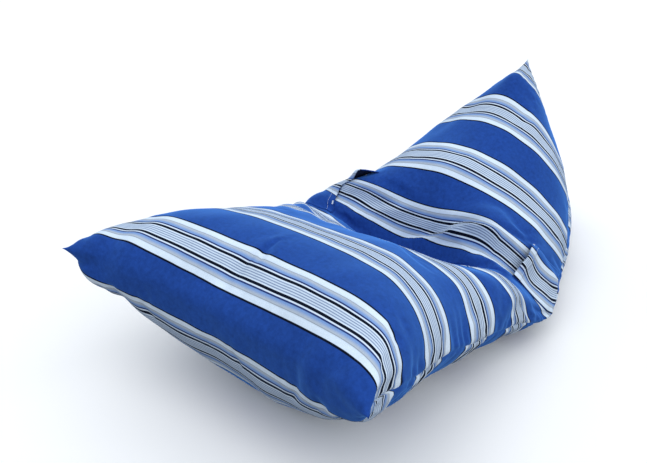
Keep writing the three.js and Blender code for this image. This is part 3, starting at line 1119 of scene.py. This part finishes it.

# %% [markdown]
# ## Thread
#
# The hem of each mouth is held by one row of stitches. Where a mouth ends, a bar
# tack, which is short stitches side by side, stops it from tearing out. The left
# pocket has two tacks, and the right one shows only one. A bump could draw them,
# but they stand up and catch the light. One stitch is modelled as a short round
# thread whose ends dip into the cloth. It is copied along the hem, and thicker
# copies make the tacks.

# %% One stitch
STITCH_LENGTH = 3.6 * MM
THREAD = 0.8 * MM
THREAD_SIDES = 8
# share of the stitch that is straight, and how its ends dip and taper
STITCH_BODY = 0.6
STITCH_DIP = 0.35
STITCH_TAPER = 0.45
# a face whose normal points along X at least this much is an end
END_FACING = 0.9


def model_stitch():
    """A short thread along X that bulges in the middle and dips at both ends."""
    body = STITCH_LENGTH * STITCH_BODY
    end = (STITCH_LENGTH - body) / 2
    bpy.ops.object.select_all(action="DESELECT")
    bpy.ops.mesh.primitive_cylinder_add(
        vertices=THREAD_SIDES, radius=THREAD / 2, depth=body, rotation=(0, math.pi / 2, 0),
    )
    stitch = bpy.context.object
    stitch.name = "one_stitch"
    bpy.ops.object.transform_apply(location=True, rotation=True, scale=True)
    for way in (1, -1):
        bpy.ops.object.mode_set(mode="EDIT")
        bpy.ops.mesh.select_mode(type="FACE")
        bpy.ops.mesh.select_all(action="DESELECT")
        bpy.ops.object.mode_set(mode="OBJECT")
        for face in stitch.data.polygons:
            face.select = face.normal.x * way > END_FACING
        bpy.ops.object.mode_set(mode="EDIT")
        bpy.ops.mesh.extrude_region_move(
            TRANSFORM_OT_translate={"value": (way * end, 0, -THREAD * STITCH_DIP)},
        )
        bpy.ops.transform.resize(value=(1, STITCH_TAPER, STITCH_TAPER))
        bpy.ops.object.mode_set(mode="OBJECT")
    bpy.ops.object.shade_smooth()
    return stitch


one_stitch = model_stitch()
print("one stitch", len(one_stitch.data.polygons), "faces,", round(one_stitch.dimensions.x, 5), "m")

# %% Rows of stitches and bar tacks
STITCH_STEP = 4.6 * MM
# where the row runs, as a share of the hem's columns
HEM_LINE = 0.85
TACK_STITCHES = 11
TACK_PITCH = 1.0 * MM
TACK_SCALE = 1.4
# the column of the hem that a tack lies across
TACK_COLUMN = 1
TACKS = {
    # distance from the front fold at which each tack sits beside the mouth's edge
    "pocket_right": (1078 * MM,),
    "pocket_left": (917 * MM, 1112 * MM),
}


def place_stitch(spot, way, normal, scale):
    """A copy of the one stitch at a spot of the cloth, lying along one way."""
    way = way / np.linalg.norm(way)
    side = np.cross(normal, way)
    side = side / np.linalg.norm(side)
    up = np.cross(way, side)
    turn = np.eye(4)
    turn[:3] = np.column_stack([way * scale, side * scale, up * scale, spot])
    mesh = one_stitch.data.copy()
    mesh.transform(Matrix(turn))
    stitch = bpy.data.objects.new("stitch", mesh)
    bpy.context.collection.objects.link(stitch)
    return stitch


def joined_stitches(name, stitches):
    """Joins stitches into one piece."""
    bpy.ops.object.select_all(action="DESELECT")
    for stitch in stitches:
        stitch.select_set(True)
    bpy.context.view_layer.objects.active = stitches[0]
    bpy.ops.object.join()
    stitches[0].name = name
    return stitches[0]


def hem_stitches(outer_face, normals):
    """A row of stitches along the inner side of the hem."""
    share = HEM_LINE * HEM_COLUMNS
    i = int(share)
    line = (i + 1 - share) * outer_face[:, i] + (share - i) * outer_face[:, i + 1]
    lengths = lengths_along(line)
    wanted = np.arange(STITCH_STEP, lengths[-1] - STITCH_STEP / 2, STITCH_STEP)
    rows = np.interp(wanted, lengths, np.arange(len(line)))
    found = []
    for row in rows:
        k = min(int(row), len(line) - 2)
        spot = line[k] + (row - k) * (line[k + 1] - line[k])
        found.append(place_stitch(spot, line[k + 1] - line[k], normals[k, i], 1.0))
    return found


def bar_tack(outer_face, normals, row):
    """A short row of stitches beside the mouth's edge, each at right angles to it."""
    edge = outer_face[:, TACK_COLUMN]
    normal = normals[row, TACK_COLUMN]
    along = edge[row + 1] - edge[row - 1]
    along = along / np.linalg.norm(along)
    across = np.cross(normal, along)
    found = []
    for number in range(TACK_STITCHES):
        spot = edge[row] + along * TACK_PITCH * (number - (TACK_STITCHES - 1) / 2)
        found.append(place_stitch(spot, across, normal, TACK_SCALE))
    return found


thread_pieces = []
for node_name, (outer_face, normals) in pocket_faces.items():
    stitches = hem_stitches(outer_face, normals)
    runs_down_mouth = mouth_line(POCKETS[node_name])[:, 0]
    for run in TACKS[node_name]:
        row = int(np.clip(np.searchsorted(runs_down_mouth, run), 1, POCKET_ROWS - 1))
        stitches += bar_tack(outer_face, normals, row)
    thread_pieces.append(joined_stitches("thread_" + node_name, stitches))
    print(thread_pieces[-1].name, len(stitches), "stitches", len(thread_pieces[-1].data.polygons), "faces")
bpy.data.objects.remove(one_stitch)

# %% [markdown]
# ## Striped cloth
#
# The stripes are woven in, so they follow the cloth and bend with its folds. The
# repeat is a wide blue band and a pale group that reads the same from either
# side. Folding the coordinate about the middle of the pale group halves the
# work: one colour ramp then holds the group from its middle to the edge of the
# blue. Fine lines need sharp steps, and a ramp holds only 32 stops, so the four
# fine lines in the middle are a wave of their own.

# %% Stripe colours and widths
REPEAT = 220 * MM
# how far from the front fold the middle of the first pale group lies
FIRST_PALE = 121 * MM
BLUE = (0.0135, 0.058, 0.295)
DEEP_BLUE = (0.014, 0.032, 0.150)
NIGHT = (0.0015, 0.003, 0.012)
WHITE = (0.67, 0.79, 0.94)
PALE = (0.58, 0.70, 0.85)
GREY_LINE = (0.30, 0.34, 0.40)
MIST = (0.43, 0.50, 0.60)
SKY = (0.20, 0.34, 0.66)
BAND_EDGE = 60 * MM
STRIPES = (
    # from the middle of the pale group, in millimetres, and the colour that starts there
    (0.0, PALE), (10.8, PALE), (11.2, WHITE), (13.3, WHITE), (13.7, NIGHT), (19.9, NIGHT),
    (20.3, WHITE), (23.3, WHITE), (23.8, DEEP_BLUE), (26.6, DEEP_BLUE), (28.0, SKY), (30.5, SKY),
    (37.5, MIST), (39.8, MIST), (40.2, GREY_LINE), (41.4, GREY_LINE), (42.0, PALE), (45.0, WHITE),
    (55.7, WHITE), (56.1, NIGHT), (59.8, NIGHT), (60.2, BLUE), (110.0, BLUE),
)
print(len(STRIPES), "stops in the ramp")

# %% [markdown]
# ## Helpers for materials
#
# The materials share a few steps: making a material, laying a pattern over the
# surface, doing a sum, mixing two colours. Each step gets a helper, so that a
# material reads as a short list of what it is made of.


# %% Helpers for node trees
def new_material(name, constants):
    """A material whose shader has the given constants. Returns it with its tree and shader."""
    material = bpy.data.materials.new(name)
    material.use_nodes = True
    tree = material.node_tree
    shader = tree.nodes["Principled BSDF"]
    for socket, value in constants.items():
        shader.inputs[socket].default_value = value
    return material, tree, shader


def object_place(tree):
    """The Object coordinates of the surface, as a socket."""
    return tree.nodes.new("ShaderNodeTexCoord").outputs["Object"]


def pattern(tree, kind, place, settings):
    """A texture node over the given coordinates, with its settings. Returns the node."""
    node = tree.nodes.new(kind)
    for socket, value in settings.items():
        node.inputs[socket].default_value = value
    tree.links.new(place, node.inputs["Vector"])
    return node


def new_group(name, inputs, outputs):
    """An empty shader group with named sockets, given as name: (kind, default)."""
    group = bpy.data.node_groups.new(name, "ShaderNodeTree")
    for socket, (kind, default) in inputs.items():
        made = group.interface.new_socket(socket, in_out="INPUT", socket_type="NodeSocket" + kind)
        if default is not None:
            made.default_value = default
    for socket, kind in outputs.items():
        group.interface.new_socket(socket, in_out="OUTPUT", socket_type="NodeSocket" + kind)
    return group, group.nodes.new("NodeGroupInput"), group.nodes.new("NodeGroupOutput")


def maths(tree, operation, first, second=None, third=None):
    """A Math node whose inputs are sockets or numbers. Returns its output socket."""
    node = tree.nodes.new("ShaderNodeMath")
    node.operation = operation
    for slot, value in zip(node.inputs, (first, second, third)):
        if value is None:
            continue
        if isinstance(value, bpy.types.NodeSocket):
            tree.links.new(value, slot)
        else:
            slot.default_value = value
    return node.outputs[0]


def mix_colours(tree, factor, first, second, blend="MIX"):
    """A colour Mix node whose inputs are sockets or values."""
    node = tree.nodes.new("ShaderNodeMix")
    node.data_type = "RGBA"
    node.blend_type = blend
    for slot, value in ((node.inputs[0], factor), (node.inputs[6], first), (node.inputs[7], second)):
        if isinstance(value, bpy.types.NodeSocket):
            tree.links.new(value, slot)
        else:
            slot.default_value = value
    return node.outputs[2]


def fill_ramp(ramp, stops, reach):
    """Puts (millimetres, colour) stops on a colour ramp that is reach millimetres long."""
    elements = ramp.color_ramp.elements
    while len(elements) > 1:
        elements.remove(elements[-1])
    elements[0].position = 0
    elements[0].color = (*stops[0][1], 1)
    for place, colour in stops[1:]:
        elements.new(place / reach).color = (*colour, 1)


print("materials of the solids", [material.name for material in bpy.data.materials])

# %% The stripe group
FINE_REACH = 11.3 * MM
FINE_LINE_SPACING = 5.7 * MM
FINE_LINE = (0.22, 0.29, 0.45)
# the wave is turned over and swings past 0 and 1, where it is cut off, softly at 1. Its
# middle lies under a half, so the dark lines are a little narrower than the pale ones
FINE_SWING = 0.9
FINE_SHIFT = 0.35
FINE_ROUNDING = 0.2


def stripe_group():
    """Colour of the striped cloth from the distance along it, and where its blue bands are."""
    outputs = {"Color": "Color", "Blue Band": "Float"}
    group, start, end = new_group("woven stripes", {"Along": ("Float", 0)}, outputs)
    along = start.outputs["Along"]
    shifted = maths(group, "SUBTRACT", along, FIRST_PALE - REPEAT / 2)
    turns = maths(group, "FLOORED_MODULO", shifted, REPEAT)
    distance = maths(group, "ABSOLUTE", maths(group, "SUBTRACT", turns, REPEAT / 2))
    reach = STRIPES[-1][0]
    ramp = group.nodes.new("ShaderNodeValToRGB")
    group.links.new(maths(group, "DIVIDE", distance, reach * MM), ramp.inputs[0])
    fill_ramp(ramp, STRIPES, reach)
    wave = maths(group, "COSINE", maths(group, "MULTIPLY", distance, 2 * math.pi / FINE_LINE_SPACING))
    lines = maths(group, "MULTIPLY_ADD", wave, -FINE_SWING, FINE_SHIFT)
    lines = maths(group, "SMOOTH_MIN", lines, 1.0, FINE_ROUNDING)
    lines = maths(group, "MAXIMUM", lines, 0.0)
    inside = maths(group, "LESS_THAN", distance, FINE_REACH)
    share = maths(group, "MULTIPLY", lines, inside)
    colour = mix_colours(group, share, ramp.outputs[0], (*FINE_LINE, 1))
    group.links.new(colour, end.inputs["Color"])
    blue_band = maths(group, "GREATER_THAN", distance, BAND_EDGE)
    group.links.new(blue_band, end.inputs["Blue Band"])
    return group


stripes = stripe_group()
print("group", stripes.name, len(stripes.nodes), "nodes")

# %% [markdown]
# ## Weave
#
# The cloth is a plain outdoor weave of yarns a little over a millimetre wide.
# Modelled yarns would take millions of faces, so two crossed waves give their
# over and under. They drive a small bump and a slight change of colour, with
# noise for the slubs, where a yarn is thicker.

# %% The weave group
YARN = 1.3 * MM
SLUBS = {"Scale": 420, "Detail": 2}
# how much the crossing yarns count beside the slubs
CROSSING = 0.35
# shade of the cloth where its relief is 0, and how much the relief adds
SHADE_LOW = 0.89
SHADE_RISE = 0.22


def weave_group():
    """Relief and shade of a plain weave at cloth coordinates in metres."""
    group, start, end = new_group(
        "plain weave",
        {"Across": ("Float", 0), "Along": ("Float", 0), "Yarn": ("Float", YARN)},
        {"Height": "Float", "Shade": "Float"},
    )
    waves = []
    for name in ("Across", "Along"):
        turn = maths(group, "DIVIDE", start.outputs[name], start.outputs["Yarn"])
        waves.append(maths(group, "SINE", maths(group, "MULTIPLY", turn, math.pi)))
    crossed = maths(group, "MULTIPLY", waves[0], waves[1])
    combine = group.nodes.new("ShaderNodeCombineXYZ")
    group.links.new(start.outputs["Across"], combine.inputs[0])
    group.links.new(start.outputs["Along"], combine.inputs[1])
    slubs = pattern(group, "ShaderNodeTexNoise", combine.outputs[0], SLUBS)
    relief = maths(group, "MULTIPLY_ADD", crossed, CROSSING, slubs.outputs[0])
    group.links.new(relief, end.inputs["Height"])
    group.links.new(maths(group, "MULTIPLY_ADD", relief, SHADE_RISE, SHADE_LOW), end.inputs["Shade"])
    return group


weave = weave_group()
print("group", weave.name, len(weave.nodes), "nodes")

# %% [markdown]
# ## Cloth material
#
# The pouch and the pockets are cut from the same roll, so one function makes
# both materials. Slow noise fades the cloth as sun does, and finer noise
# mottles it, more on the blue than on the pale yarns. The fibres stand up a
# little, which is the cloth's sheen. The part of it that is the same all over
# is set on the shader itself. The dark blue yarns show it far more than the
# white, so the rest is painted sheen: Layer Weight mixes a lighter blue into
# the colour, on the blue alone, where the cloth turns edge on.

# %% Striped cloth material
CLOTH_FINISH = {
    "Sheen Weight": 0.15,
    "Sheen Tint": (0.25, 0.5, 1.0, 1),
    "Sheen Roughness": 0.45,
    "Specular IOR Level": 0.05,
}
PATCHES = {"Scale": 9, "Detail": 4}
# the slow noise is multiplied by the first number, and the second is added
FADING = (0.24, 0.88)
CLOTH_ROUGHNESS = (0.12, 0.74)
MOTTLE = {"Scale": 95, "Detail": 3, "Roughness": 0.65}
MOTTLE_BLUE = 0.7
MOTTLE_PALE = 0.15
# painted sheen: the lighter blue mixed into the blue bands where the cloth turns edge on, its largest
# share, and how fast it falls off away from edge on
PAINTED_SHEEN_BLUE = (0.08, 0.33, 1.0, 1)
PAINTED_SHEEN_MOST = 0.75
PAINTED_SHEEN_FALLOFF = 3.5
BUMP_STRENGTH = 0.35
BUMP_DISTANCE = 0.4 * MM


def cloth_material(name):
    """The striped cloth: stripes and weave by its own UV, fading and mottle by place."""
    material, tree, shader = new_material(name, CLOTH_FINISH)
    place = object_place(tree)
    uv = tree.nodes.new("ShaderNodeUVMap")
    uv.uv_map = "cloth"
    split = tree.nodes.new("ShaderNodeSeparateXYZ")
    tree.links.new(uv.outputs[0], split.inputs[0])
    across, along = split.outputs[0], split.outputs[1]
    colour = tree.nodes.new("ShaderNodeGroup")
    colour.node_tree = stripes
    tree.links.new(along, colour.inputs["Along"])
    yarns = tree.nodes.new("ShaderNodeGroup")
    yarns.node_tree = weave
    yarns.inputs["Yarn"].default_value = YARN
    tree.links.new(across, yarns.inputs["Across"])
    tree.links.new(along, yarns.inputs["Along"])
    patches = pattern(tree, "ShaderNodeTexNoise", place, PATCHES)
    fading = maths(tree, "MULTIPLY_ADD", patches.outputs[0], *FADING)
    mottle = pattern(tree, "ShaderNodeTexNoise", place, MOTTLE)
    worn = maths(tree, "MULTIPLY_ADD", colour.outputs["Blue Band"], MOTTLE_BLUE, MOTTLE_PALE)
    blotches = maths(tree, "MULTIPLY_ADD", maths(tree, "SUBTRACT", mottle.outputs[0], 0.5), worn, 1.0)
    shade = maths(tree, "MULTIPLY", fading, yarns.outputs["Shade"])
    shade = maths(tree, "MULTIPLY", shade, blotches)
    grey = tree.nodes.new("ShaderNodeCombineColor")
    for slot in grey.inputs:
        tree.links.new(shade, slot)
    toned = mix_colours(tree, 1.0, colour.outputs[0], grey.outputs[0], "MULTIPLY")
    # painted sheen: Layer Weight mixes a lighter blue into the colour of the blue bands where the cloth
    # turns edge on
    edge_on = tree.nodes.new("ShaderNodeLayerWeight")
    edge_on.inputs["Blend"].default_value = 0.5
    painted_sheen = maths(tree, "POWER", edge_on.outputs["Facing"], PAINTED_SHEEN_FALLOFF)
    painted_sheen = maths(tree, "MULTIPLY", painted_sheen, PAINTED_SHEEN_MOST)
    painted_sheen = maths(tree, "MULTIPLY", painted_sheen, colour.outputs["Blue Band"])
    with_painted_sheen = mix_colours(tree, painted_sheen, toned, PAINTED_SHEEN_BLUE)
    tree.links.new(with_painted_sheen, shader.inputs["Base Color"])
    roughness = maths(tree, "MULTIPLY_ADD", patches.outputs[0], *CLOTH_ROUGHNESS)
    tree.links.new(roughness, shader.inputs["Roughness"])
    bump = tree.nodes.new("ShaderNodeBump")
    bump.inputs["Strength"].default_value = BUMP_STRENGTH
    bump.inputs["Distance"].default_value = BUMP_DISTANCE
    tree.links.new(yarns.outputs["Height"], bump.inputs["Height"])
    tree.links.new(bump.outputs[0], shader.inputs["Normal"])
    return material


pouch.data.materials.append(cloth_material("striped outdoor cloth"))
pocket_cloth = cloth_material("striped pocket cloth")
for patch in pockets.values():
    patch.data.materials.append(pocket_cloth)
print("cloth materials", pouch.data.materials[0].name, "and", pocket_cloth.name)

# %% [markdown]
# ## Painted shade inside the pockets
#
# The inside of a pocket lies in deep shade, and that shade is painted: the
# inner faces of each patch take a near-black blue. It shows only inside the
# open mouth of a pocket. It could be painted by Backfacing, but the patch is
# a closed sheet with an inner face of its own, so those faces simply take a
# second material.

# %% Painted shade inside the pockets
# painted shade inside the pockets: a near-black blue, a slightly lighter one that noise mixes in, and the
# roughness
POCKET_SHADE_DARK = (0.006, 0.012, 0.040, 1)
POCKET_SHADE_LIGHT = (0.014, 0.024, 0.065, 1)
POCKET_SHADE_NOISE = {"Scale": 140, "Detail": 4}
POCKET_SHADE_ROUGHNESS = (0.2, 0.5)


def painted_pocket_shade():
    """Painted shade inside a pocket: a near-black blue on the patch's inner faces."""
    material, tree, shader = new_material("pocket inside painted shade", {})
    shade_noise = pattern(tree, "ShaderNodeTexNoise", object_place(tree), POCKET_SHADE_NOISE)
    colour = mix_colours(tree, shade_noise.outputs[0], POCKET_SHADE_DARK, POCKET_SHADE_LIGHT)
    tree.links.new(colour, shader.inputs["Base Color"])
    roughness = maths(tree, "MULTIPLY_ADD", shade_noise.outputs[0], *POCKET_SHADE_ROUGHNESS)
    tree.links.new(roughness, shader.inputs["Roughness"])
    return material


pocket_shade_cloth = painted_pocket_shade()
for patch in pockets.values():
    patch.data.materials.append(pocket_shade_cloth)
print(patch.name, "has", [material.name for material in patch.data.materials])

# %% [markdown]
# ## Thread material
#
# The thread is a twisted white polyester one, whose two plies show as slanting
# bands. A wave texture gives them, and its darker bands are painted shade in
# the grooves between the plies: modelling the twist would cost hundreds of
# faces a stitch and show only from very near. It is a little glossier than the
# cloth.

# %% Thread material
THREAD_FINISH = {"Sheen Weight": 0.1}
# the white of the thread, and painted shade for the grooves between its plies
THREAD_LIGHT = (0.80, 0.86, 0.93, 1)
THREAD_GROOVE_SHADE = (0.45, 0.52, 0.62, 1)
THREAD_ROUGHNESS = (-0.1, 0.6)
PLIES = {"Scale": 900, "Distortion": 0.6}


def thread_material():
    """White twisted thread."""
    material, tree, shader = new_material("hem thread", THREAD_FINISH)
    plies = pattern(tree, "ShaderNodeTexWave", object_place(tree), PLIES)
    plies.bands_direction = "DIAGONAL"
    colour = mix_colours(tree, plies.outputs["Fac"], THREAD_GROOVE_SHADE, THREAD_LIGHT)
    tree.links.new(colour, shader.inputs["Base Color"])
    roughness = maths(tree, "MULTIPLY_ADD", plies.outputs["Fac"], *THREAD_ROUGHNESS)
    tree.links.new(roughness, shader.inputs["Roughness"])
    return material


thread = thread_material()
for piece in thread_pieces:
    piece.data.materials.clear()
    piece.data.materials.append(thread)
print("thread on", [piece.name for piece in thread_pieces])

# %% [markdown]
# ## The floor
#
# The floor is plain and pale, and isn't part of the pouf. A pale floor would
# throw too much light back up on the underside, so for light that bounces it is
# duller than the camera sees it. It lies a hair below the cloth, because two
# faces at one height would flicker.

# %% Floor
FLOOR_SIZE = 40
FLOOR_DROP = 0.8 * MM
FLOOR_FINISH = {"Roughness": 0.9, "Specular IOR Level": 0.1}
FLOOR_SEEN = (0.98, 0.985, 1.0, 1)
FLOOR_BOUNCE = (0.32, 0.30, 0.28, 1)


def add_floor():
    """A wide floor just under the pouf."""
    bpy.ops.object.select_all(action="DESELECT")
    bpy.ops.mesh.primitive_plane_add(size=FLOOR_SIZE, location=(0, 0, -FLOOR_DROP))
    floor = bpy.context.object
    floor.name = "pale_floor"
    bpy.ops.object.transform_apply(location=True)
    material, tree, shader = new_material("pale floor", FLOOR_FINISH)
    path = tree.nodes.new("ShaderNodeLightPath")
    colour = mix_colours(tree, path.outputs["Is Camera Ray"], FLOOR_BOUNCE, FLOOR_SEEN)
    tree.links.new(colour, shader.inputs["Base Color"])
    floor.data.materials.append(material)
    return floor


floor = add_floor()
print("floor at", floor.data.vertices[0].co.z)

# %% [markdown]
# ## Light
#
# A soft, even sky lights the pouf from all round, as a big white tent would in a
# studio. Three very wide soft lamps shape the pouf. The main one comes from the
# right, one from above brightens the seat and the top of the back, and a weaker
# one from behind on the left makes the far side of the seat gleam. The front
# under the fold stays in shade.

# %% Light
SKY_COLOUR = (0.86, 0.93, 1.0, 1)
SKY_STRENGTH = 0.66
LAMP_COLOUR = (1.0, 0.985, 0.96)
LAMP_DISTANCE = 3
LAMPS = {
    # the way each lamp's light comes from, its strength, and its width in degrees
    "soft_sun": ((0.8, 0.1, 0.68), 1.12, 80),
    "low_gleam": ((-0.6, 0.65, 0.4), 0.45, 80),
    "top_light": ((-0.1, -0.35, 1.0), 0.78, 50),
}


def add_lamp(name, way, strength, width):
    """A wide soft lamp that shines towards the origin, under the middle of the pouf."""
    data = bpy.data.lights.new(name, "SUN")
    data.color = LAMP_COLOUR
    data.energy = strength
    data.angle = math.radians(width)
    lamp = bpy.data.objects.new(name, data)
    lamp.location = Vector(way) * LAMP_DISTANCE
    lamp.rotation_euler = (-lamp.location).to_track_quat("-Z", "Y").to_euler()
    bpy.context.collection.objects.link(lamp)


def add_sky():
    """An even sky all round."""
    world = bpy.data.worlds.new("soft sky")
    world.use_nodes = True
    background = world.node_tree.nodes["Background"]
    background.inputs["Color"].default_value = SKY_COLOUR
    background.inputs["Strength"].default_value = SKY_STRENGTH
    bpy.context.scene.world = world


for name, (way, strength, width) in LAMPS.items():
    add_lamp(name, way, strength, width)
add_sky()
bpy.context.scene.view_settings.view_transform = "Standard"
print("lamps", sorted(LAMPS))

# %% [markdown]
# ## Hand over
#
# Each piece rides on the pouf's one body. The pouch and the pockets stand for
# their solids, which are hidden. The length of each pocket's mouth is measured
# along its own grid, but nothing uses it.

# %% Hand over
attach(pouch, "root")
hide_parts("pouf_body")
for node_name, patch in pockets.items():
    middle = pocket_middles[node_name]
    width = np.linalg.norm(np.diff(middle[:, 0], axis=0), axis=1).sum()
    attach(patch, "root")
    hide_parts(node_name)

for piece in thread_pieces:
    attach(piece, "root")
